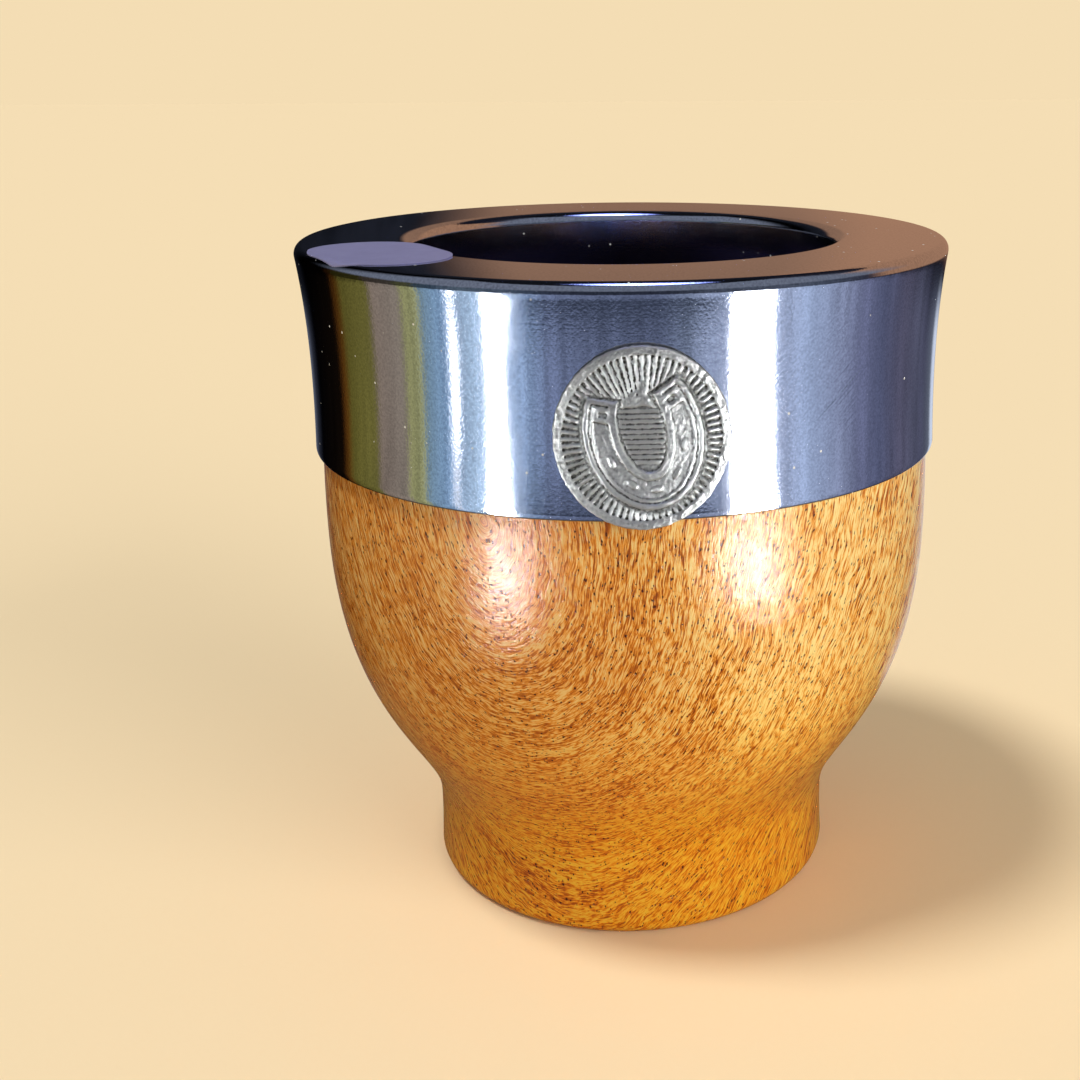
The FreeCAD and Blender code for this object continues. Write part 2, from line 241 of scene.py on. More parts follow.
@dataclass(frozen=True)
class VarnishedWood:
    """Orange-brown hardwood with a reddish cast, turned across bent growth layers and varnished to a gloss.

    The layers lie round a pith that leans back and comes out at the front, so the belly shows nested U
    shapes there and upright lines at the sides. Short dark dashes follow the layers and open pores follow
    the fibres. The varnish gives soft highlights that the grain breaks up. The right side is drawn lighter
    as painted light, where the light falls on it. Inside, the bare wood is dark from use and painted darker
    still with painted shade: a dark navy for the shade deep in the hollow, with a painted bluish reflection.
    Real dashes and pores are too fine to show, so both are drawn a little coarser.
    """

    deepest: str = "#7C3000"
    dark: str = "#C06A06"
    middle: str = "#E8A03C"
    light: str = "#F2D88E"
    red_cast: str = "#C67226"
    red_share: float = 0.35
    foot_tint: str = "#FFEB68"
    pore: str = "#3A1503"
    # Painted shade: dark navy for the shade deep in the hollow, with a painted bluish reflection, over wood
    # darkened by use
    hollow_painted_shade: str = "#1D1930"

    # Pith, and how far the fibres sway: spacing of the sway and its reach
    pith_place: Place = (-22.6, -56.9, 45.0)
    pith_turn_deg: Place = (-40.3, 10.0, 0.0)
    sways: tuple[Point, ...] = ((40.0, 5.0), (6.0, 1.5), (1.8, 0.3))

    # Dashes and layers: spacing across the layers, and length round the pith and along the fibres
    dash_spacing: float = 0.15
    dash_length: Point = (1.0, 3.5)
    layer_spacing: float = 0.55
    layer_length: Point = (9.0, 25.0)
    band_spacing: float = 6.0
    fibres_per_mm: float = 2.6
    fibre_stretch: Place = (1.0, 1.0, 0.2)

    # Side with painted light, lighter where the light falls, by X with clouds that shift it; and foot, by Z
    painted_light_side: Point = (-12.0, 26.0)
    cloud_spacing: float = 20.0
    cloud_shift: float = 30.0
    foot_height: Point = (52.0, 16.0)

    # What each pattern adds to the tone, and the range of their sum that the colours spread over
    fibre_weight: float = 0.5
    dash_weight: float = 2.4
    layer_weight: float = 0.75
    # Painted light: lightness added to the tone on the side where the light falls
    painted_light_weight: float = 0.14
    foot_weight: float = 0.065
    band_weight: float = 0.35
    tone_range: Point = (1.64, 2.34)

    # Pores in two sizes of cells; their radius is the first in a dark dash and the second in a light one
    pore_spacings: Point = (0.6, 1.02)
    pore_radius: Point = (0.19, 0.09)
    pore_dashes: Point = (0.35, 0.6)
    pore_reach: float = 4.2
    pore_edge: float = 0.05
    pore_cover: float = 0.92

    # Relief of the wood and of the varnish over it
    pore_depth: float = 0.9
    fibre_relief: float = 0.8
    grain_relief: float = 0.03
    peel_spacing: float = 2.5
    film_share: float = 0.7
    varnish_relief: float = 0.055

    # Bare hollow inside the varnished outside
    hollow_radius: float = 30.4
    hollow_floor: float = 19.0

    bare_roughness: float = 0.48
    bare_gloss: float = 0.08
    varnish_roughness: float = 0.19
    varnish_ior: float = 1.5

    def fibre_place(self, tree: Tree, here: Socket) -> Socket:
        """Add the nodes that give the place counted from the tree's pith, with Z along the fibres.

        Args:
            tree: node tree that gets them.
            here: place in millimetres.

        Returns:
            Vector output in millimetres.
        """
        bent = here
        for spacing, reach in self.sways:
            sway = add_node(tree, "ShaderNodeTexNoise",
                            {"Vector": here, "Scale": 1 / spacing, "Detail": 1.0})
            centred = add_node(tree, "ShaderNodeVectorMath", {0: sway.outputs["Color"], 1: (0.5, 0.5, 0.5)},
                               operation="SUBTRACT")
            moved = add_node(tree, "ShaderNodeVectorMath",
                             {0: centred.outputs[0], 1: (reach, reach, reach), 2: bent},
                             operation="MULTIPLY_ADD")
            bent = moved.outputs[0]
        lean = tuple(math.radians(angle) for angle in self.pith_turn_deg)
        placed = add_node(tree, "ShaderNodeMapping",
                          {"Vector": bent, "Location": self.pith_place, "Rotation": lean},
                          vector_type="TEXTURE")
        return placed.outputs[0]

    def layers(self, tree: Tree, place: Socket, ring: Socket, spacing: float, length: Point) -> Socket:
        """Add streaks that follow the growth layers.

        Args:
            tree: node tree that gets them.
            place: place in millimetres from the pith.
            ring: distance from the pith in millimetres.
            spacing: size of the streaks across the layers.
            length: their size along the layers, round the pith and along the fibres.

        Returns:
            Output about 0.5, lower in a dark streak.
        """
        drift = add_node(tree, "ShaderNodeVectorMath",
                         {0: place, 1: (1 / length[0], 1 / length[0], 1 / length[1])}, operation="MULTIPLY")
        across = add_node(tree, "ShaderNodeMath", {0: ring, 1: 1 / spacing}, operation="MULTIPLY")
        streaks = add_node(tree, "ShaderNodeTexNoise", {
            "Vector": drift.outputs[0],
            "W": across.outputs[0],
            "Scale": 1.0,
            "Detail": 1.5,
            "Roughness": 0.6,
        }, noise_dimensions="4D")
        return streaks.outputs[0]

    def pores(self, tree: Tree, place: Socket, dashes: Socket) -> Socket:
        """Add the open pores, which are larger in the dark dashes.

        Args:
            tree: node tree that gets them.
            place: place in millimetres from the pith.
            dashes: strength of the dashes.

        Returns:
            Output that is near 1 in a pore.
        """
        size = add_node(tree, "ShaderNodeMapRange", {
            "Value": dashes,
            "From Min": self.pore_dashes[0],
            "From Max": self.pore_dashes[1],
            "To Min": self.pore_radius[0],
            "To Max": self.pore_radius[1],
        })
        found = 0.0
        for spacing in self.pore_spacings:
            squeezed = add_node(tree, "ShaderNodeVectorMath",
                                {0: place, 1: (1 / spacing, 1 / spacing, 1 / (self.pore_reach * spacing))},
                                operation="MULTIPLY")
            cells = add_node(tree, "ShaderNodeTexVoronoi", {"Vector": squeezed.outputs[0], "Scale": 1.0})
            within = add_node(tree, "ShaderNodeMath",
                              {0: cells.outputs["Distance"], 1: -spacing, 2: size.outputs[0]},
                              operation="MULTIPLY_ADD")
            pore = add_node(tree, "ShaderNodeMapRange", {
                "Value": within.outputs[0],
                "From Max": self.pore_edge,
                "To Max": self.pore_cover,
            })
            both = add_node(tree, "ShaderNodeMath", {0: found, 1: pore.outputs[0]}, operation="MAXIMUM")
            found = both.outputs[0]
        return found

    def regions(self, tree: Tree, here: Socket, place: Socket) -> tuple[Socket, Socket]:
        """Add the masks of the side with painted light, lighter where the light falls, and of the foot.

        Args:
            tree: node tree that gets them.
            here: place in millimetres.
            place: place in millimetres from the pith.

        Returns:
            Outputs that are 1 on the side with painted light and 1 on the foot.
        """
        parts = add_node(tree, "ShaderNodeSeparateXYZ", {0: here})
        cloud = add_node(tree, "ShaderNodeTexNoise",
                         {"Vector": place, "Scale": 1 / self.cloud_spacing, "Detail": 2.0})
        shifted = add_node(tree, "ShaderNodeMath",
                           {0: cloud.outputs[0], 1: self.cloud_shift, 2: parts.outputs["X"]},
                           operation="MULTIPLY_ADD")
        # A cloud is 0.5 on average, so half its shift is taken off again.
        side = add_node(tree, "ShaderNodeMapRange", {
            "Value": shifted.outputs[0],
            "From Min": self.painted_light_side[0] + self.cloud_shift / 2,
            "From Max": self.painted_light_side[1] + self.cloud_shift / 2,
        }, interpolation_type="SMOOTHSTEP")
        foot = add_node(tree, "ShaderNodeMapRange", {
            "Value": parts.outputs["Z"],
            "From Min": self.foot_height[0],
            "From Max": self.foot_height[1],
        }, interpolation_type="SMOOTHSTEP")
        above = add_node(tree, "ShaderNodeMath", {0: 1.0, 1: foot.outputs[0]}, operation="SUBTRACT")
        # Painted light: the right side is drawn lighter where the light falls, but the foot is not
        pale = add_node(tree, "ShaderNodeMath", {0: side.outputs[0], 1: above.outputs[0]},
                        operation="MULTIPLY")
        return pale.outputs[0], foot.outputs[0]

    def colour(self, tree: Tree, tone: Socket, pale: Socket, foot: Socket, pores: Socket) -> Socket:
        """Add the wood's colours.

        Args:
            tree: node tree that gets them.
            tone: sum of the patterns, higher where the wood is lighter.
            pale: mask of the side with painted light.
            foot: mask of the foot.
            pores: mask of the pores.

        Returns:
            Colour output.
        """
        spread = add_node(tree, "ShaderNodeMapRange",
                          {"Value": tone, "From Min": self.tone_range[0], "From Max": self.tone_range[1]})
        ramp = add_node(tree, "ShaderNodeValToRGB", {"Fac": spread.outputs[0]})
        set_stops(ramp.color_ramp,
                  [(0.0, self.deepest), (0.3, self.dark), (0.55, self.middle), (1.0, self.light)])
        reddened = add_node(tree, "ShaderNodeMapRange",
                            {"Value": pale, "From Min": 0.5, "From Max": 0.0, "To Max": self.red_share})
        wood = ramp.outputs[0]
        for share, tint, blend in ((reddened.outputs[0], self.red_cast, "MIX"),
                                   (foot, self.foot_tint, "MULTIPLY"), (pores, self.pore, "MIX")):
            mixed = add_node(tree, "ShaderNodeMix", {0: share, 6: wood, 7: linear(tint)},
                             data_type="RGBA", blend_type=blend)
            wood = mixed.outputs[2]
        return wood

    def outside(self, tree: Tree, here: Socket) -> Socket:
        """Add the nodes that tell the varnished outside from the bare hollow.

        Args:
            tree: node tree that gets them.
            here: place in millimetres.

        Returns:
            Output that is 1 outside and 0 in the hollow.
        """
        parts = add_node(tree, "ShaderNodeSeparateXYZ", {0: here})
        wide = add_node(tree, "ShaderNodeMath", {0: distance_from_z(tree, here), 1: self.hollow_radius},
                        operation="GREATER_THAN")
        low = add_node(tree, "ShaderNodeMath", {0: parts.outputs["Z"], 1: self.hollow_floor},
                       operation="LESS_THAN")
        either = add_node(tree, "ShaderNodeMath", {0: wide.outputs[0], 1: low.outputs[0]},
                          operation="MAXIMUM")
        return either.outputs[0]

    def build(self) -> bpy.types.Material:
        """Make the wood's material."""
        material, tree = new_material("varnished_reddish_hardwood")
        here = object_millimetres(tree)
        place = self.fibre_place(tree, here)
        ring = distance_from_z(tree, place)
        dashes = self.layers(tree, place, ring, self.dash_spacing, self.dash_length)
        layers = self.layers(tree, place, ring, self.layer_spacing, self.layer_length)
        bands = add_node(tree, "ShaderNodeTexNoise",
                         {"W": ring, "Scale": 1 / self.band_spacing, "Detail": 2.0}, noise_dimensions="1D")
        along = add_node(tree, "ShaderNodeVectorMath", {0: place, 1: self.fibre_stretch},
                         operation="MULTIPLY")
        fibres = add_node(tree, "ShaderNodeTexNoise", {
            "Vector": along.outputs[0],
            "Scale": self.fibres_per_mm,
            "Detail": 3.0,
            "Roughness": 0.7,
        }).outputs[0]
        pale, foot = self.regions(tree, here, place)
        # The tone sums the grain patterns, the foot and the painted light of the lit side
        tone = 0.0
        for pattern, weight in ((fibres, self.fibre_weight), (dashes, self.dash_weight),
                                (layers, self.layer_weight), (pale, self.painted_light_weight),
                                (foot, self.foot_weight), (bands.outputs[0], self.band_weight)):
            total = add_node(tree, "ShaderNodeMath", {0: pattern, 1: weight, 2: tone},
                             operation="MULTIPLY_ADD")
            tone = total.outputs[0]
        pores = self.pores(tree, place, dashes)
        colour = self.colour(tree, tone, pale, foot, pores)

        depth = add_node(tree, "ShaderNodeMath", {0: pores, 1: -self.pore_depth, 2: dashes},
                         operation="MULTIPLY_ADD")
        depth = add_node(tree, "ShaderNodeMath", {0: fibres, 1: self.fibre_relief, 2: depth.outputs[0]},
                         operation="MULTIPLY_ADD")
        grain = add_node(tree, "ShaderNodeBump",
                         {"Height": depth.outputs[0], "Distance": self.grain_relief * MM, "Strength": 1.0})
        peel = add_node(tree, "ShaderNodeTexNoise",
                        {"Vector": here, "Scale": 1 / self.peel_spacing, "Detail": 2.0})
        film = add_node(tree, "ShaderNodeMath",
                        {0: depth.outputs[0], 1: self.film_share, 2: peel.outputs[0]},
                        operation="MULTIPLY_ADD")
        varnish = add_node(tree, "ShaderNodeBump", {
            "Height": film.outputs[0],
            "Distance": self.varnish_relief * MM,
            "Strength": 1.0,
        })

        # The hollow gets the painted shade colour in place of the grain
        outside = self.outside(tree, here)
        shown = add_node(tree, "ShaderNodeMix", {0: outside, 6: linear(self.hollow_painted_shade), 7: colour},
                         data_type="RGBA")
        surface = add_node(tree, "ShaderNodeBsdfPrincipled", {
            "Base Color": shown.outputs[2],
            "Roughness": self.bare_roughness,
            "Specular IOR Level": self.bare_gloss,
            "Normal": grain.outputs[0],
            "Coat Weight": outside,
            "Coat Roughness": self.varnish_roughness,
            "Coat IOR": self.varnish_ior,
            "Coat Normal": varnish.outputs[0],
        })
        add_node(tree, "ShaderNodeOutputMaterial", {"Surface": surface.outputs[0]})
        return material


@dataclass(frozen=True)
class PolishedSteel:
    """Stainless sheet, spun to shape and polished on the lathe.

    It mirrors what stands round it. Fine lines round the collar spread bright things up and down but keep
    their sides crisp, and wiping marks, handling and specks of dust break the mirror up. The lines are
    drawn coarser than real polishing lines, which would not show.
    """

    colour: str = "#E8E9EC"
    pitted: str = "#CFD0D4"
    dust: str = "#E8E8E4"
    dust_roughness: float = 0.7
    roughness: float = 0.075
    roughness_spread: Point = (0.8, 1.4)
    line_spread: float = 0.5
    line_turn: float = 0.25
    line_spacing: float = 0.22
    line_length: float = 20.0
    line_share: float = 0.25
    blotch_size: float = 0.32
    smears_per_mm: float = 0.09
    relief: float = 0.0065

    # Specks of dust, which lie in clusters
    speck_spacing: float = 2.6
    speck_radius: float = 0.19

    # Slanting wiping lines: strong in a patch right of the medallion and faint beyond its outer radius
    wiping_place: Place = (22.5, -38.0, 82.0)
    wiping_radii: Point = (9.0, 3.0)
    wiping_strength: Point = (0.4, 9.0)
    wiping_slant: float = -0.9
    wiping_lines_per_mm: float = 1.7
    wiping_share: float = 0.5

    def wiping_marks(self, tree: Tree, here: Socket) -> Socket:
        """Add the slanting wiping lines.

        Args:
            tree: node tree that gets them.
            here: place in millimetres.

        Returns:
            Height output.
        """
        parts = add_node(tree, "ShaderNodeSeparateXYZ", {0: here})
        slant = add_node(tree, "ShaderNodeMath",
                         {0: parts.outputs["X"], 1: self.wiping_slant, 2: parts.outputs["Z"]},
                         operation="MULTIPLY_ADD")
        lines = add_node(tree, "ShaderNodeTexNoise",
                         {"W": slant.outputs[0], "Scale": self.wiping_lines_per_mm, "Detail": 1.0},
                         noise_dimensions="1D")
        away = add_node(tree, "ShaderNodeVectorMath", {0: here, 1: self.wiping_place}, operation="DISTANCE")
        patch = add_node(tree, "ShaderNodeMapRange", {
            "Value": away.outputs["Value"],
            "From Min": self.wiping_radii[0],
            "From Max": self.wiping_radii[1],
            "To Min": self.wiping_strength[0],
            "To Max": self.wiping_strength[1],
        }, interpolation_type="SMOOTHSTEP")
        marked = add_node(tree, "ShaderNodeMath", {0: lines.outputs[0], 1: patch.outputs[0]},
                          operation="MULTIPLY")
        return marked.outputs[0]

    def specks(self, tree: Tree, here: Socket, smear: Socket) -> Socket:
        """Add the specks of dust.

        Args:
            tree: node tree that gets them.
            here: place in millimetres.
            smear: wide clouds, whose bright parts hold the specks.

        Returns:
            Output that is 1 on a speck.
        """
        radius = self.speck_radius / self.speck_spacing
        cells = add_node(tree, "ShaderNodeTexVoronoi", {"Vector": here, "Scale": 1 / self.speck_spacing})
        spot = add_node(tree, "ShaderNodeMapRange",
                        {"Value": cells.outputs["Distance"], "From Min": radius, "From Max": 0.5 * radius})
        cluster = add_node(tree, "ShaderNodeMapRange", {"Value": smear, "From Min": 0.48, "From Max": 0.52})
        kept = add_node(tree, "ShaderNodeMath", {0: spot.outputs[0], 1: cluster.outputs[0]},
                        operation="MULTIPLY")
        return kept.outputs[0]

    def build(self) -> bpy.types.Material:
        """Make the steel's material."""
        material, tree = new_material("polished_stainless_steel")
        here = object_millimetres(tree)
        stretch = (1 / self.line_length, 1 / self.line_length, 1 / self.line_spacing)
        round_it = add_node(tree, "ShaderNodeVectorMath", {0: here, 1: stretch}, operation="MULTIPLY")
        lathe = add_node(tree, "ShaderNodeTexNoise",
                         {"Vector": round_it.outputs[0], "Scale": 1.0, "Detail": 2.0})
        blotch = add_node(tree, "ShaderNodeTexNoise",
                          {"Vector": here, "Scale": 1 / self.blotch_size, "Detail": 2.0})
        smear = add_node(tree, "ShaderNodeTexNoise",
                         {"Vector": here, "Scale": self.smears_per_mm, "Detail": 3.0})
        height = add_node(tree, "ShaderNodeMath",
                          {0: lathe.outputs[0], 1: self.line_share, 2: blotch.outputs[0]},
                          operation="MULTIPLY_ADD")
        height = add_node(tree, "ShaderNodeMath",
                          {0: self.wiping_marks(tree, here), 1: self.wiping_share, 2: height.outputs[0]},
                          operation="MULTIPLY_ADD")
        normal = add_node(tree, "ShaderNodeBump",
                          {"Height": height.outputs[0], "Distance": self.relief * MM, "Strength": 1.0})
        rough = add_node(tree, "ShaderNodeMapRange", {
            "Value": smear.outputs[0],
            "From Min": 0.35,
            "From Max": 0.7,
            "To Min": self.roughness * self.roughness_spread[0],
            "To Max": self.roughness * self.roughness_spread[1],
        })
        pits = add_node(tree, "ShaderNodeMapRange",
                        {"Value": blotch.outputs[0], "From Min": 0.3, "From Max": 0.65})
        metal = add_node(tree, "ShaderNodeMix",
                         {0: pits.outputs[0], 6: linear(self.pitted), 7: linear(self.colour)},
                         data_type="RGBA")
        round_axis = add_node(tree, "ShaderNodeTangent", direction_type="RADIAL", axis="Z")
        steel = add_node(tree, "ShaderNodeBsdfPrincipled", {
            "Base Color": metal.outputs[2],
            "Metallic": 1.0,
            "Roughness": rough.outputs[0],
            "Anisotropic": self.line_spread,
            "Anisotropic Rotation": self.line_turn,
            "Tangent": round_axis.outputs[0],
            "Normal": normal.outputs[0],
        })
        dust = add_node(tree, "ShaderNodeBsdfPrincipled",
                        {"Base Color": linear(self.dust), "Roughness": self.dust_roughness})
        surface = add_node(tree, "ShaderNodeMixShader",
                           {0: self.specks(tree, here, smear.outputs[0]), 1: steel.outputs[0],
                            2: dust.outputs[0]})
        add_node(tree, "ShaderNodeOutputMaterial", {"Surface": surface.outputs[0]})
        return material


@dataclass(frozen=True)
class StruckNickelSilver:
    """Nickel silver, struck in relief: bright where it is rubbed, tarnished dark between the forms."""

    bright: str = "#D6D5CC"
    tarnish: str = "#4C4A42"
    metallic: float = 0.88
    rubbed_roughness: float = 0.36
    tarnished_roughness: float = 0.6

    # Radius of the plate's face about the cup's axis, and the relief over which it gets bright
    floor_radius: float = 44.9
    relief: float = 0.16
    floor_share: float = 0.35
    groove_bend: Point = (0.455, 0.51)
    mottle_per_mm: float = 1.8
    mottle_rise: float = 0.12
    pits_per_mm: float = 5.0
    pit_depth: float = 0.05

    def build(self) -> bpy.types.Material:
        """Make the medallion's material."""
        material, tree = new_material("struck_nickel_silver")
        here = object_millimetres(tree)
        mottle = add_node(tree, "ShaderNodeTexNoise",
                          {"Vector": here, "Scale": self.mottle_per_mm, "Detail": 3.0})
        level = add_node(tree, "ShaderNodeMath",
                         {0: mottle.outputs[0], 1: self.mottle_rise, 2: distance_from_z(tree, here)},
                         operation="MULTIPLY_ADD")
        raised = add_node(tree, "ShaderNodeMapRange", {
            "Value": level.outputs[0],
            "From Min": self.floor_radius,
            "From Max": self.floor_radius + self.relief,
            "To Min": self.floor_share,
        })
        bend = add_node(tree, "ShaderNodeNewGeometry").outputs["Pointiness"]
        open_to_rubbing = add_node(tree, "ShaderNodeMapRange", {
            "Value": bend,
            "From Min": self.groove_bend[0],
            "From Max": self.groove_bend[1],
        })
        rubbed = add_node(tree, "ShaderNodeMath", {0: raised.outputs[0], 1: open_to_rubbing.outputs[0]},
                          operation="MULTIPLY")
        colour = add_node(tree, "ShaderNodeMix",
                          {0: rubbed.outputs[0], 6: linear(self.tarnish), 7: linear(self.bright)},
                          data_type="RGBA")
        rough = add_node(tree, "ShaderNodeMapRange", {
            "Value": rubbed.outputs[0],
            "To Min": self.tarnished_roughness,
            "To Max": self.rubbed_roughness,
        })
        pits = add_node(tree, "ShaderNodeTexNoise",
                        {"Vector": here, "Scale": self.pits_per_mm, "Detail": 2.0})
        normal = add_node(tree, "ShaderNodeBump",
                          {"Height": pits.outputs[0], "Distance": self.pit_depth * MM, "Strength": 1.0})
        surface = add_node(tree, "ShaderNodeBsdfPrincipled", {
            "Base Color": colour.outputs[2],
            "Metallic": self.metallic,
            "Roughness": rough.outputs[0],
            "Normal": normal.outputs[0],
        })
        add_node(tree, "ShaderNodeOutputMaterial", {"Surface": surface.outputs[0]})
        return material


@dataclass(frozen=True)
class LabelPaper:
    """Thin white coated paper drawn lavender grey as painted shade: a dull sheen, faint fibre clouds and a
    slightly uneven surface.
    """

    # Painted shade: white paper drawn a lavender grey for the dim bluish light that falls on it, in both
    # tints
    colour: str = "#8B89AC"
    shade: str = "#7B799D"
    clouds_per_mm: float = 0.5
    relief: float = 0.08
    roughness: float = 0.45

    def build(self) -> bpy.types.Material:
        """Make the label's material."""
        material, tree = new_material("coated_label_paper")
        here = object_millimetres(tree)
        clouds = add_node(tree, "ShaderNodeTexNoise",
                          {"Vector": here, "Scale": self.clouds_per_mm, "Detail": 3.0})
        tint = add_node(tree, "ShaderNodeMix",
                        {0: clouds.outputs[0], 6: linear(self.shade), 7: linear(self.colour)},
                        data_type="RGBA")
        normal = add_node(tree, "ShaderNodeBump",
                          {"Height": clouds.outputs[0], "Distance": self.relief * MM, "Strength": 1.0})
        surface = add_node(tree, "ShaderNodeBsdfPrincipled", {
            "Base Color": tint.outputs[2],
            "Roughness": self.roughness,
            "Normal": normal.outputs[0],
        })
        add_node(tree, "ShaderNodeOutputMaterial", {"Surface": surface.outputs[0]})
        return material


def dress(piece: bpy.types.Object, finish: bpy.types.Material, stands_for: str | None) -> None:
    """Give a finished piece its material and tie it to the frame.

    Args:
        piece: the piece, in place.
        finish: its material.
        stands_for: CAD node that it replaces, or None where it is that node.
    """
    piece.data.materials.clear()
    piece.data.materials.append(finish)
    if stands_for:
        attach(piece, "root")
        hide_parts(stands_for)
    LOG.info("%s: %d faces, finish %s", piece.name, len(piece.data.polygons), finish.name)


@dataclass
class TurnedBowl:
    """Wooden body, turned in one piece with its foot, belly, spigot and hollow."""

    foot_radius: float = 30.5
    foot_edge: float = 1.6
    neck_radius: float = 30.2
    neck_height: float = 10.0
    neck_pull: float = 12.2
    belly_radius: float = 43.8
    belly_height: float = 55.0
    belly_pull: float = 29.8
    shoulder_radius: float = 43.45
    shoulder_height: float = 66.85
    spigot_radius: float = 43.18
    spigot_chamfer: float = 0.4
    rebate_radius: float = 30.55
    rebate_height: float = 84.85
    rebate_depth: float = 9.25
    hollow_radius: float = 29.3
    hollow_bottom_radius: float = 27.0
    hollow_bottom: float = 20.0
    finish: VarnishedWood = field(default_factory=VarnishedWood)

    def hollow(self) -> list[Point]:
        """Section of the tapered hollow, from the rebate down to the round bottom and the axis."""
        round_radius = self.hollow_bottom_radius
        centre = (0.0, self.hollow_bottom + round_radius)
        rise = self.rebate_height - centre[1]
        reach = math.hypot(self.hollow_radius, rise)
        touch_deg = math.degrees(math.atan2(rise, self.hollow_radius) - math.acos(round_radius / reach))
        bottom = on_arc(centre, round_radius, touch_deg, -90, steps=40)
        return [(self.hollow_radius, self.rebate_height), *bottom]

    def section(self) -> list[Point]:
        """Whole section from the middle of the foot, up the outside and down the hollow."""
        edge = self.foot_edge
        belly = (self.belly_radius, self.belly_height)
        neck = (self.neck_radius, self.neck_height)
        top = self.rebate_height + self.rebate_depth
        chamfer = self.spigot_chamfer
        foot = on_arc((self.foot_radius - edge, edge), edge, -90, 0, steps=8)
        waist = (self.neck_radius, (edge + self.neck_height) / 2)
        ankle = on_curve([(self.foot_radius, edge), waist, neck], steps=8)
        flank = on_curve([neck, (self.neck_radius, self.neck_height + self.neck_pull),
                          (self.belly_radius, self.belly_height - self.belly_pull), belly], steps=48)
        shoulder = (self.shoulder_radius, self.shoulder_height)
        over = (self.belly_radius, (self.belly_height + self.shoulder_height) / 2)
        upper = on_curve([belly, over, shoulder], steps=10)
        spigot = [(self.spigot_radius, self.shoulder_height), (self.spigot_radius, top - chamfer),
                  (self.spigot_radius - chamfer, top), (self.rebate_radius + chamfer, top),
                  (self.rebate_radius, top - chamfer), (self.rebate_radius, self.rebate_height)]
        return [(0.0, 0.0), *foot, *ankle[1:], *flank[1:], *upper[1:], *spigot, *self.hollow()]

    def build(self) -> bpy.types.Object:
        """Make and dress the bowl."""
        bowl = turn_section("turned_bowl", self.section())
        dress(bowl, self.finish.build(), "wood_bowl")
        return bowl


@dataclass
class SteelCollar:
    """Skirt, flat rim and lip, spun from one sheet and pressed over the bowl."""

    top: float = 95.0
    sheet: float = 0.9
    rim_radius: float = 45.0
    rim_bend: float = 1.3
    flare_deg: float = 7.5
    skirt_foot: float = 67.0
    skirt_foot_radius: float = 44.4
    skirt_foot_deg: float = 3.0
    skirt_edge: float = 0.25
    mouth_radius: float = 29.6
    mouth_bend: float = 1.6
    lip_depth: float = 10.0
    finish: PolishedSteel = field(default_factory=PolishedSteel)

    def skirt(self, offset: float) -> list[Point]:
        """Skirt's outer line from foot to flare, moved outwards.

        Args:
            offset: how far it is moved.

        Returns:
            Points as radius and height.
        """
        foot = (self.skirt_foot_radius + offset, self.skirt_foot + self.skirt_edge)
        flare = math.radians(self.flare_deg)
        top = (self.rim_radius - self.rim_bend * (1 - math.cos(flare)) + offset,
               self.top - self.rim_bend * (1 + math.sin(flare)))
        reach = (top[1] - foot[1]) / 3
        lean = math.radians(self.skirt_foot_deg)
        lower = (foot[0] - reach * math.sin(lean), foot[1] + reach * math.cos(lean))
        upper = (top[0] - reach * math.sin(flare), top[1] - reach * math.cos(flare))
        return on_curve([foot, lower, upper, top], steps=40)

    def section(self) -> list[Point]:
        """Closed section of the sheet, from the skirt's foot over the rim to the lip and back inside."""
        edge = self.skirt_edge
        inner = self.skirt(-self.sheet)
        under = self.top - self.sheet
        lip = self.top - self.lip_depth
        rim = on_arc((self.rim_radius - self.rim_bend, self.top - self.rim_bend), self.rim_bend,
                     -self.flare_deg, 90, steps=12)
        mouth = on_arc((self.mouth_radius + self.mouth_bend, self.top - self.mouth_bend), self.mouth_bend,
                       90, 180, steps=12)
        inside = self.mouth_radius + self.sheet
        lip_edge = [(self.mouth_radius, lip + edge), (self.mouth_radius + edge, lip), (inside, lip)]
        foot = on_arc((self.skirt_foot_radius - edge, self.skirt_foot + edge), edge, -90, 0, steps=4)
        return [*self.skirt(0), *rim[1:], *mouth, *lip_edge, (inside, under), (inner[-1][0], under),
                *reversed(inner), (inner[0][0], self.skirt_foot), *foot]

    def build(self) -> bpy.types.Object:
        """Make and dress the collar."""
        collar = turn_section("spun_collar", self.section())
        dress(collar, self.finish.build(), "steel_collar")
        return collar


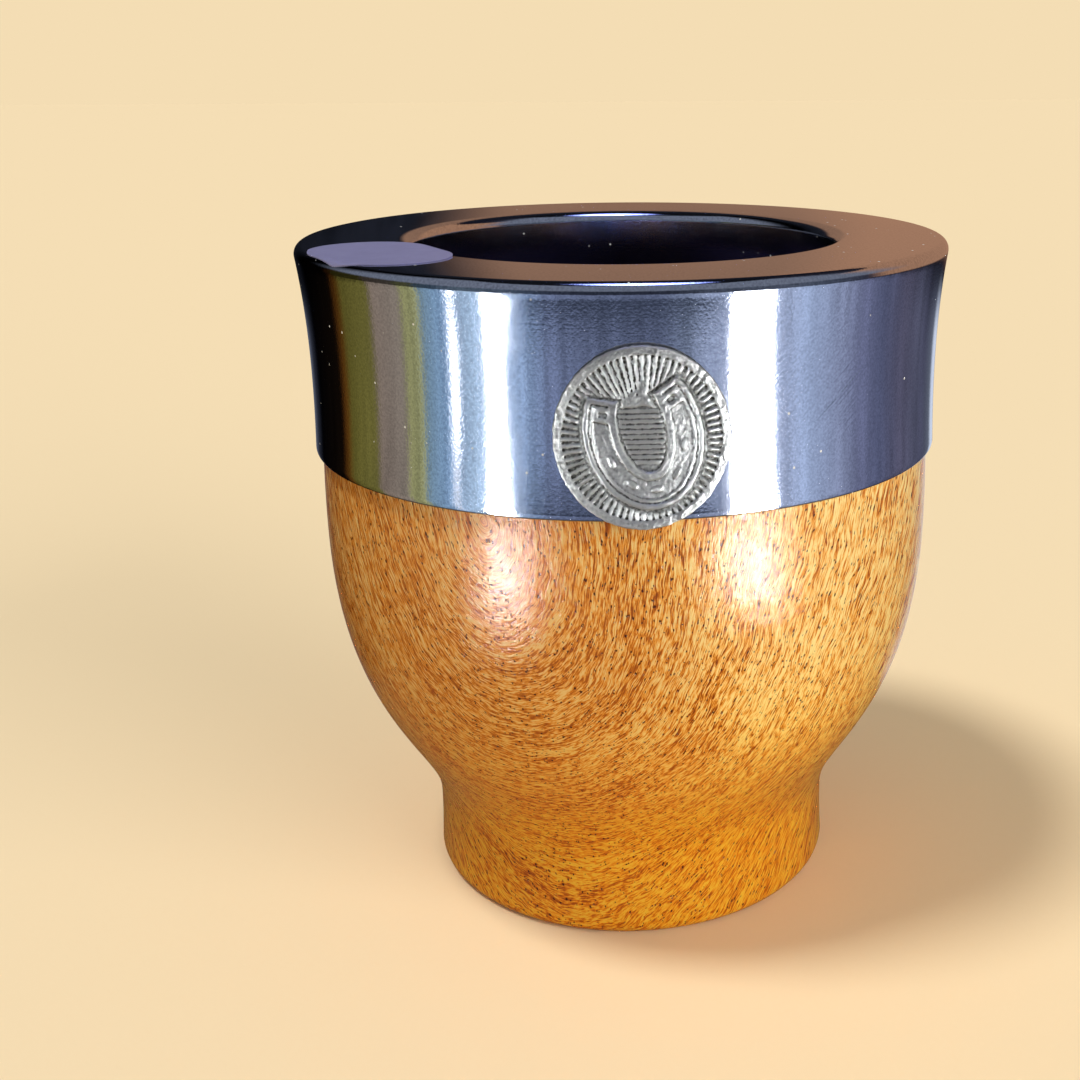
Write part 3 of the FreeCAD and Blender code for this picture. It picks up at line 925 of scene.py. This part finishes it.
@dataclass
class Medallion:
    """Oval plate with a horseshoe in relief, softened and made uneven as a hand-cut die leaves it."""

    voxel: float = 0.11
    wobble: float = 0.22
    wobble_size: float = 0.9
    lump: float = 0.16
    lump_size: float = 0.55
    smoothing: float = 0.5
    smoothing_rounds: int = 3
    finish: StruckNickelSilver = field(default_factory=StruckNickelSilver)

    def copy_plate(self) -> bpy.types.Object:
        """Copy the plate from the frame and merge its loose triangles."""
        deselect()
        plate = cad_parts["horseshoe_medallion"].copy()
        plate.data = plate.data.copy()
        plate.name = "struck_medallion"
        plate.parent = None
        for key in [key for key in plate.keys() if key.startswith("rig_")]:
            del plate[key]
        bpy.context.scene.collection.objects.link(plate)
        bpy.context.view_layer.objects.active = plate
        plate.select_set(True)
        bpy.ops.object.mode_set(mode="EDIT")
        bpy.ops.mesh.select_all(action="SELECT")
        bpy.ops.mesh.remove_doubles(threshold=MM / 1000)
        bpy.ops.object.mode_set(mode="OBJECT")
        return plate

    def displace(self, plate: bpy.types.Object, name: str, size: float, strength: float,
                 direction: str) -> None:
        """Move the surface by clouds.

        Args:
            plate: the plate.
            name: name of the modifier and its texture.
            size: size of the clouds.
            strength: how far they move the surface.
            direction: axis, or NORMAL.
        """
        clouds = bpy.data.textures.new(name, "CLOUDS")
        clouds.noise_scale = size * MM
        moved = plate.modifiers.new(name, "DISPLACE")
        moved.texture = clouds
        moved.texture_coords = "LOCAL"
        moved.direction = direction
        moved.strength = strength * MM

    def build(self) -> bpy.types.Object:
        """Soften the plate's relief, make it uneven and dress it."""
        plate = self.copy_plate()
        remesh = plate.modifiers.new("even_mesh", "REMESH")
        remesh.mode = "VOXEL"
        remesh.voxel_size = self.voxel * MM
        self.displace(plate, "hand_cut_wobble", self.wobble_size, self.wobble, "X")
        self.displace(plate, "cast_lumps", self.lump_size, self.lump, "NORMAL")
        smooth = plate.modifiers.new("soft_edges", "SMOOTH")
        smooth.factor = self.smoothing
        smooth.iterations = self.smoothing_rounds
        for modifier in [item.name for item in plate.modifiers]:
            bpy.ops.object.modifier_apply(modifier=modifier)
        bpy.ops.object.shade_smooth()
        dress(plate, self.finish.build(), "horseshoe_medallion")
        return plate


@dataclass
class PriceLabel:
    """Blank paper label on the rim, with its shape as built."""

    finish: LabelPaper = field(default_factory=LabelPaper)

    def build(self) -> bpy.types.Object:
        """Dress the label."""
        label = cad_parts["price_label"]
        dress(label, self.finish.build(), None)
        return label


@dataclass(frozen=True)
class Window:
    """Shining patch on the room's wall, by direction and height, each end in the middle of a soft edge."""

    turn_deg: Point
    height: Point
    strength: float
    colour: str = "#F2F5FF"
    soft_deg: float = 2.0
    soft_height: float = 10.0


@dataclass(frozen=True)
class LevelCard:
    """Round level card over or under the cup, fading towards its edge over a share of its radius."""

    name: str
    place: Place
    radius: float
    strength: float
    colour: str
    soft: float


@dataclass
class Surroundings:
    """What stands round the cup: a dim room with two windows, a brown wall, a ceiling light and a table.

    Only the gloss of the cup sees it, so that the light on the cup and the floor stays plain and soft.
    """

    distance: float = 172.0
    height: Point = (-60.0, 420.0)
    room: tuple[tuple[float, str], ...] = (
        (-180.0, "#4C5164"), (-150.0, "#3A3E4C"), (-132.0, "#020203"), (-109.5, "#0C0704"),
        (-108.5, "#3C210A"), (-104.5, "#52340E"), (-103.5, "#565022"), (-88.0, "#645F30"),
        (-87.0, "#7A6C62"), (-74.5, "#80766C"), (-73.5, "#84845A"), (-67.0, "#93946A"),
        (-66.0, "#6E8798"), (-58.0, "#7896B8"), (-56.5, "#9CB6D6"), (-49.0, "#A6BFDA"),
        (-35.0, "#93AACB"), (-30.0, "#7F94B6"), (-25.0, "#6C7898"), (-14.0, "#5C6580"),
        (8.0, "#5C6580"), (16.0, "#78849E"), (21.0, "#8C98B4"), (48.0, "#A2B0D0"),
        (54.0, "#98A8C8"), (68.0, "#8089A6"), (77.0, "#656A88"), (87.0, "#505570"),
        (100.0, "#504F64"), (113.0, "#4E5064"), (130.0, "#34354A"), (180.0, "#4C5164"),
    )
    windows: tuple[Window, ...] = (
        # Dim strip low in front, between the two windows
        Window((-34.0, 26.0), (28.0, 40.0), 0.12, "#93A6D0", 12.0, 3.0),
        # Left window: very bright low down for the varnish, weaker above for the bar on the steel
        Window((-45.0, -37.6), (3.0, 36.0), 54.0, soft_deg=2.0, soft_height=5.0),
        Window((-44.5, -38.3), (34.0, 54.0), 4.0, soft_deg=1.5, soft_height=2.0),
        # Narrow gap left of it, and a short lamp
        Window((-56.2, -54.4), (12.0, 54.0), 1.1, "#E6EEFF", 1.5),
        Window((-56.0, -53.6), (45.3, 50.0), 7.0, soft_deg=1.0, soft_height=0.5),
        # Right window, in the same two parts
        Window((30.0, 43.5), (3.0, 36.0), 44.0, soft_deg=3.0, soft_height=5.0),
        Window((29.2, 42.3), (34.0, 54.0), 7.0, soft_deg=2.0, soft_height=2.0),
        # Brown wall behind, for the top of the rim
        Window((80.0, 168.0), (70.0, 240.0), 0.55, "#DCA685", 12.0, 12.0),
        Window((160.0, 191.0), (70.0, 240.0), 0.42, "#D4A488", 10.0, 12.0),
        # Mostly for other views: the room high in front, and a grey wall with two bars behind
        Window((-110.0, 90.0), (130.0, 420.0), 0.5, "#9AA4BC", 30.0, 30.0),
        Window((126.0, 214.0), (-75.0, 58.0), 0.4, "#9AA4BC", 16.0, 16.0),
        Window((134.0, 146.0), (-75.0, 58.0), 1.1, "#C8D2E6", 5.0, 16.0),
        Window((190.0, 204.0), (-75.0, 58.0), 0.9, "#C8D2E6", 6.0, 16.0),
    )
    cards: tuple[LevelCard, ...] = (
        LevelCard("ceiling", (0.0, 0.0, 420.0), 344.0, 0.03, "#8088A0", 0.02),
        LevelCard("ceiling_light", (16.0, -50.0, 350.0), 80.0, 13.0, "#8C9CF0", 0.95),
        LevelCard("ceiling_lamp", (2.0, -70.0, 349.0), 6.0, 60.0, "#EEF2FF", 0.6),
        LevelCard("dark_table", (0.0, 0.0, -60.0), 344.0, 0.35, "#A08C70", 0.02),
    )

    # The wall shines at this level, dims over the first heights and fades towards the table over the next
    brightness: float = 1.3
    dim_height: Point = (51.0, 64.0)
    dim_share: float = 0.22
    table_height: Point = (-16.0, 22.0)
    table_share: float = 0.24

    # Upright streaks on the wall: how many in a degree and in a millimetre of height, and their contrast
    streaks: Place = (0.45, 0.04, 1.0)
    streak_range: Point = (0.55, 1.45)

    def stand_by(self, card: bpy.types.Object, material: bpy.types.Material) -> None:
        """Dress a card, let only gloss see it and keep it off the part.

        Args:
            card: mesh object.
            material: what it shines with.
        """
        material.cycles.emission_sampling = "NONE"
        card.data.materials.clear()
        card.data.materials.append(material)
        for ray in ("camera", "diffuse", "transmission", "volume_scatter", "shadow"):
            setattr(card, f"visible_{ray}", False)

    def within(self, tree: Tree, value: Socket, ends: Point, soft: float) -> Socket:
        """Add a soft-edged test whether a value lies between two ends.

        Args:
            tree: node tree that gets it.
            value: what is tested.
            ends: the two ends, each in the middle of its soft edge.
            soft: width of the edges.

        Returns:
            Output that is 1 well inside and 0 well outside.
        """
        inside = []
        for end, half in ((ends[0], soft / 2), (ends[1], -soft / 2)):
            edge = add_node(tree, "ShaderNodeMapRange",
                            {"Value": value, "From Min": end - half, "From Max": end + half},
                            interpolation_type="SMOOTHSTEP")
            inside.append(edge.outputs[0])
        both = add_node(tree, "ShaderNodeMath", {0: inside[0], 1: inside[1]}, operation="MULTIPLY")
        return both.outputs[0]

    def wall_level(self, tree: Tree, degrees: Socket, rise: Socket) -> Socket:
        """Add the wall's brightness: dimmer higher up and by the table, with upright streaks.

        Args:
            tree: node tree that gets it.
            degrees: direction from the front.
            rise: height in millimetres.

        Returns:
            Strength output.
        """
        high = add_node(tree, "ShaderNodeMapRange", {
            "Value": rise,
            "From Min": self.dim_height[0],
            "From Max": self.dim_height[1],
            "To Min": self.brightness,
            "To Max": self.dim_share,
        }, interpolation_type="SMOOTHSTEP")
        low = add_node(tree, "ShaderNodeMapRange", {
            "Value": rise,
            "From Min": self.table_height[0],
            "From Max": self.table_height[1],
            "To Min": self.table_share,
        }, interpolation_type="SMOOTHSTEP")
        plain = add_node(tree, "ShaderNodeMath", {0: high.outputs[0], 1: low.outputs[0]},
                         operation="MULTIPLY")
        place = add_node(tree, "ShaderNodeCombineXYZ", {"X": degrees, "Y": rise})
        folded = add_node(tree, "ShaderNodeVectorMath", {0: place.outputs[0], 1: self.streaks},
                          operation="MULTIPLY")
        folds = add_node(tree, "ShaderNodeTexNoise",
                         {"Vector": folded.outputs[0], "Scale": 1.0, "Detail": 3.0, "Roughness": 0.7})
        streak = add_node(tree, "ShaderNodeMapRange", {
            "Value": folds.outputs[0],
            "From Min": 0.3,
            "From Max": 0.7,
            "To Min": self.streak_range[0],
            "To Max": self.streak_range[1],
        })
        level = add_node(tree, "ShaderNodeMath", {0: plain.outputs[0], 1: streak.outputs[0]},
                         operation="MULTIPLY")
        return level.outputs[0]

    def wall_material(self) -> bpy.types.Material:
        """Make the wall's shine: colours by direction, with windows."""
        material, tree = new_material("room_wall")
        here = add_node(tree, "ShaderNodeNewGeometry")
        parts = add_node(tree, "ShaderNodeSeparateXYZ", {0: here.outputs["Position"]})
        front = add_node(tree, "ShaderNodeMath", {0: parts.outputs["Y"], 1: -1.0}, operation="MULTIPLY")
        turn = add_node(tree, "ShaderNodeMath", {0: parts.outputs["X"], 1: front.outputs[0]},
                        operation="ARCTAN2")
        degrees = add_node(tree, "ShaderNodeMath", {0: turn.outputs[0], 1: 180 / math.pi},
                           operation="MULTIPLY").outputs[0]
        # Degrees run from -180 to 180, so a window that crosses the seam behind is counted from 0 to 360.
        whole = add_node(tree, "ShaderNodeMath", {0: degrees, 1: 360.0, 2: 0.0}, operation="WRAP").outputs[0]
        rise = add_node(tree, "ShaderNodeMath", {0: parts.outputs["Z"], 1: 1 / MM},
                        operation="MULTIPLY").outputs[0]
        share = add_node(tree, "ShaderNodeMapRange",
                         {"Value": degrees, "From Min": -180.0, "From Max": 180.0})
        ramp = add_node(tree, "ShaderNodeValToRGB", {"Fac": share.outputs[0]})
        set_stops(ramp.color_ramp, [((at_deg + 180) / 360, colour) for at_deg, colour in self.room])
        shine = add_node(tree, "ShaderNodeEmission",
                         {"Color": ramp.outputs[0], "Strength": self.wall_level(tree, degrees, rise)})
        for window in self.windows:
            counted = whole if window.turn_deg[1] > 180 else degrees
            wide = self.within(tree, counted, window.turn_deg, window.soft_deg)
            high = self.within(tree, rise, window.height, window.soft_height)
            mask = add_node(tree, "ShaderNodeMath", {0: wide, 1: high}, operation="MULTIPLY")
            light = add_node(tree, "ShaderNodeEmission",
                             {"Color": linear(window.colour), "Strength": window.strength})
            shine = add_node(tree, "ShaderNodeMixShader",
                             {0: mask.outputs[0], 1: shine.outputs[0], 2: light.outputs[0]})
        add_node(tree, "ShaderNodeOutputMaterial", {"Surface": shine.outputs[0]})
        return material

    def add_wall(self) -> None:
        """Stand a round wall round the cup."""
        low, high = self.height
        deselect()
        bpy.ops.mesh.primitive_cylinder_add(vertices=128, radius=self.distance * MM, depth=(high - low) * MM,
                                            end_fill_type="NOTHING", location=(0, 0, (low + high) / 2 * MM))
        wall = bpy.context.object
        wall.name = "room_wall"
        self.stand_by(wall, self.wall_material())

    def add_card(self, card: LevelCard) -> None:
        """Lay a level card.

        Args:
            card: what it is like.
        """
        place = Vector(card.place) * MM
        radius = card.radius * MM
        deselect()
        bpy.ops.mesh.primitive_circle_add(vertices=64, radius=radius, fill_type="NGON", location=place)
        laid = bpy.context.object
        laid.name = card.name
        material, tree = new_material(card.name)
        here = add_node(tree, "ShaderNodeNewGeometry")
        away = add_node(tree, "ShaderNodeVectorMath", {0: here.outputs["Position"], 1: place},
                        operation="DISTANCE")
        fade = add_node(tree, "ShaderNodeMapRange", {
            "Value": away.outputs["Value"],
            "From Min": radius,
            "From Max": (1 - card.soft) * radius,
        }, interpolation_type="SMOOTHSTEP")
        gap = add_node(tree, "ShaderNodeBsdfTransparent")
        shine = add_node(tree, "ShaderNodeEmission",
                         {"Color": linear(card.colour), "Strength": card.strength})
        both = add_node(tree, "ShaderNodeMixShader",
                        {0: fade.outputs[0], 1: gap.outputs[0], 2: shine.outputs[0]})
        add_node(tree, "ShaderNodeOutputMaterial", {"Surface": both.outputs[0]})
        self.stand_by(laid, material)

    def build(self) -> None:
        """Set up the wall, the ceiling, its lights and the table."""
        self.add_wall()
        for card in self.cards:
            self.add_card(card)
        LOG.info("surroundings: room, windows, ceiling lights and table for the gloss")


@dataclass(frozen=True)
class Sun:
    """Soft sun: where it stands, its share of the floor's brightness and its width in the sky."""

    name: str
    turn_deg: float
    rise_deg: float
    share: float
    softness_deg: float


@dataclass
class Studio:
    """Pale floor, even daylight, two soft suns and the camera."""

    floor_colour: str = "#F4DDB4"
    floor_size: float = 8000.0
    sky_colour: str = "#FFFFFF"
    sky: float = 0.305
    suns: tuple[Sun, ...] = (
        Sun("key_sun", -75.0, 70.0, 0.52, 12.0),
        Sun("front_sun", 48.0, 14.0, 0.18, 45.0),
    )
    sensor_width: float = 36.0
    clip_start: float = 5.0
    focal_px: float = 1372.8
    centre_px: Point = (674.5, 551.6)
    camera_place: Place = (-8.14, -196.68, 118.13)
    camera_forward: Place = (0.0725, 0.9382, -0.3383)
    camera_up: Place = (0.0293, 0.3371, 0.941)

    def add_floor(self) -> None:
        """Lay a matt floor that gloss doesn't see."""
        deselect()
        bpy.ops.mesh.primitive_plane_add(size=self.floor_size * MM)
        floor = bpy.context.object
        floor.name = "floor"
        material, tree = new_material("pale_floor")
        matt = add_node(tree, "ShaderNodeBsdfDiffuse", {"Color": linear(self.floor_colour)})
        add_node(tree, "ShaderNodeOutputMaterial", {"Surface": matt.outputs[0]})
        floor.data.materials.append(material)
        floor.visible_glossy = False

    def add_sun(self, sun: Sun) -> None:
        """Add a sun that gloss doesn't see.

        Args:
            sun: what it is like.
        """
        deselect()
        turn, rise = math.radians(sun.turn_deg), math.radians(sun.rise_deg)
        source = Vector((math.sin(turn) * math.cos(rise), -math.cos(turn) * math.cos(rise), math.sin(rise)))
        bpy.ops.object.light_add(type="SUN", location=source)
        lamp = bpy.context.object
        lamp.name = sun.name
        lamp.rotation_euler = source.to_track_quat("Z", "Y").to_euler()
        lamp.data.energy = sun.share * math.pi / math.sin(rise)
        lamp.data.angle = math.radians(sun.softness_deg)
        lamp.visible_glossy = False

    def add_sky(self) -> None:
        """Give the world even light, and the floor's colour where the camera, gloss or glass sees it."""
        world = bpy.data.worlds.new("even_sky")
        bpy.context.scene.world = world
        world.use_nodes = True
        tree = world.node_tree
        tree.nodes.clear()
        ray = add_node(tree, "ShaderNodeLightPath")
        light = add_node(tree, "ShaderNodeBackground",
                         {"Color": linear(self.sky_colour), "Strength": self.sky})
        seen = add_node(tree, "ShaderNodeBackground", {"Color": linear(self.floor_colour), "Strength": 1.0})
        shows = ray.outputs["Is Camera Ray"]
        for kind in ("Is Glossy Ray", "Is Transmission Ray"):
            either = add_node(tree, "ShaderNodeMath", {0: shows, 1: ray.outputs[kind]}, operation="MAXIMUM")
            shows = either.outputs[0]
        both = add_node(tree, "ShaderNodeMixShader", {0: shows, 1: light.outputs[0], 2: seen.outputs[0]})
        add_node(tree, "ShaderNodeOutputWorld", {"Surface": both.outputs[0]})

    def add_camera(self) -> None:
        """Put the camera where the photograph was taken from."""
        forward = Vector(self.camera_forward).normalized()
        right = forward.cross(Vector(self.camera_up)).normalized()
        up = right.cross(forward)
        deselect()
        bpy.ops.object.camera_add(location=Vector(self.camera_place) * MM)
        camera = bpy.context.object
        camera.rotation_euler = Matrix((right, up, -forward)).transposed().to_euler()
        lens = camera.data
        lens.sensor_width = self.sensor_width
        lens.lens = self.focal_px / PHOTO_PIXELS * self.sensor_width
        lens.shift_x = (PHOTO_PIXELS / 2 - self.centre_px[0]) / PHOTO_PIXELS
        lens.shift_y = (self.centre_px[1] - PHOTO_PIXELS / 2) / PHOTO_PIXELS
        lens.clip_start = self.clip_start * MM
        bpy.context.scene.camera = camera

    def build(self) -> None:
        """Set up the studio."""
        self.add_floor()
        self.add_sky()
        for sun in self.suns:
            self.add_sun(sun)
        self.add_camera()
        bpy.context.scene.view_settings.view_transform = "Standard"
        LOG.info("studio: floor, sky, two suns and the camera")


def main() -> None:
    """Build the pieces, their surroundings and the studio."""
    logging.basicConfig(level=logging.INFO, format="%(message)s")
    TurnedBowl().build()
    SteelCollar().build()
    Medallion().build()
    PriceLabel().build()
    Surroundings().build()
    Studio().build()


if __name__ == "__main__":
    main()
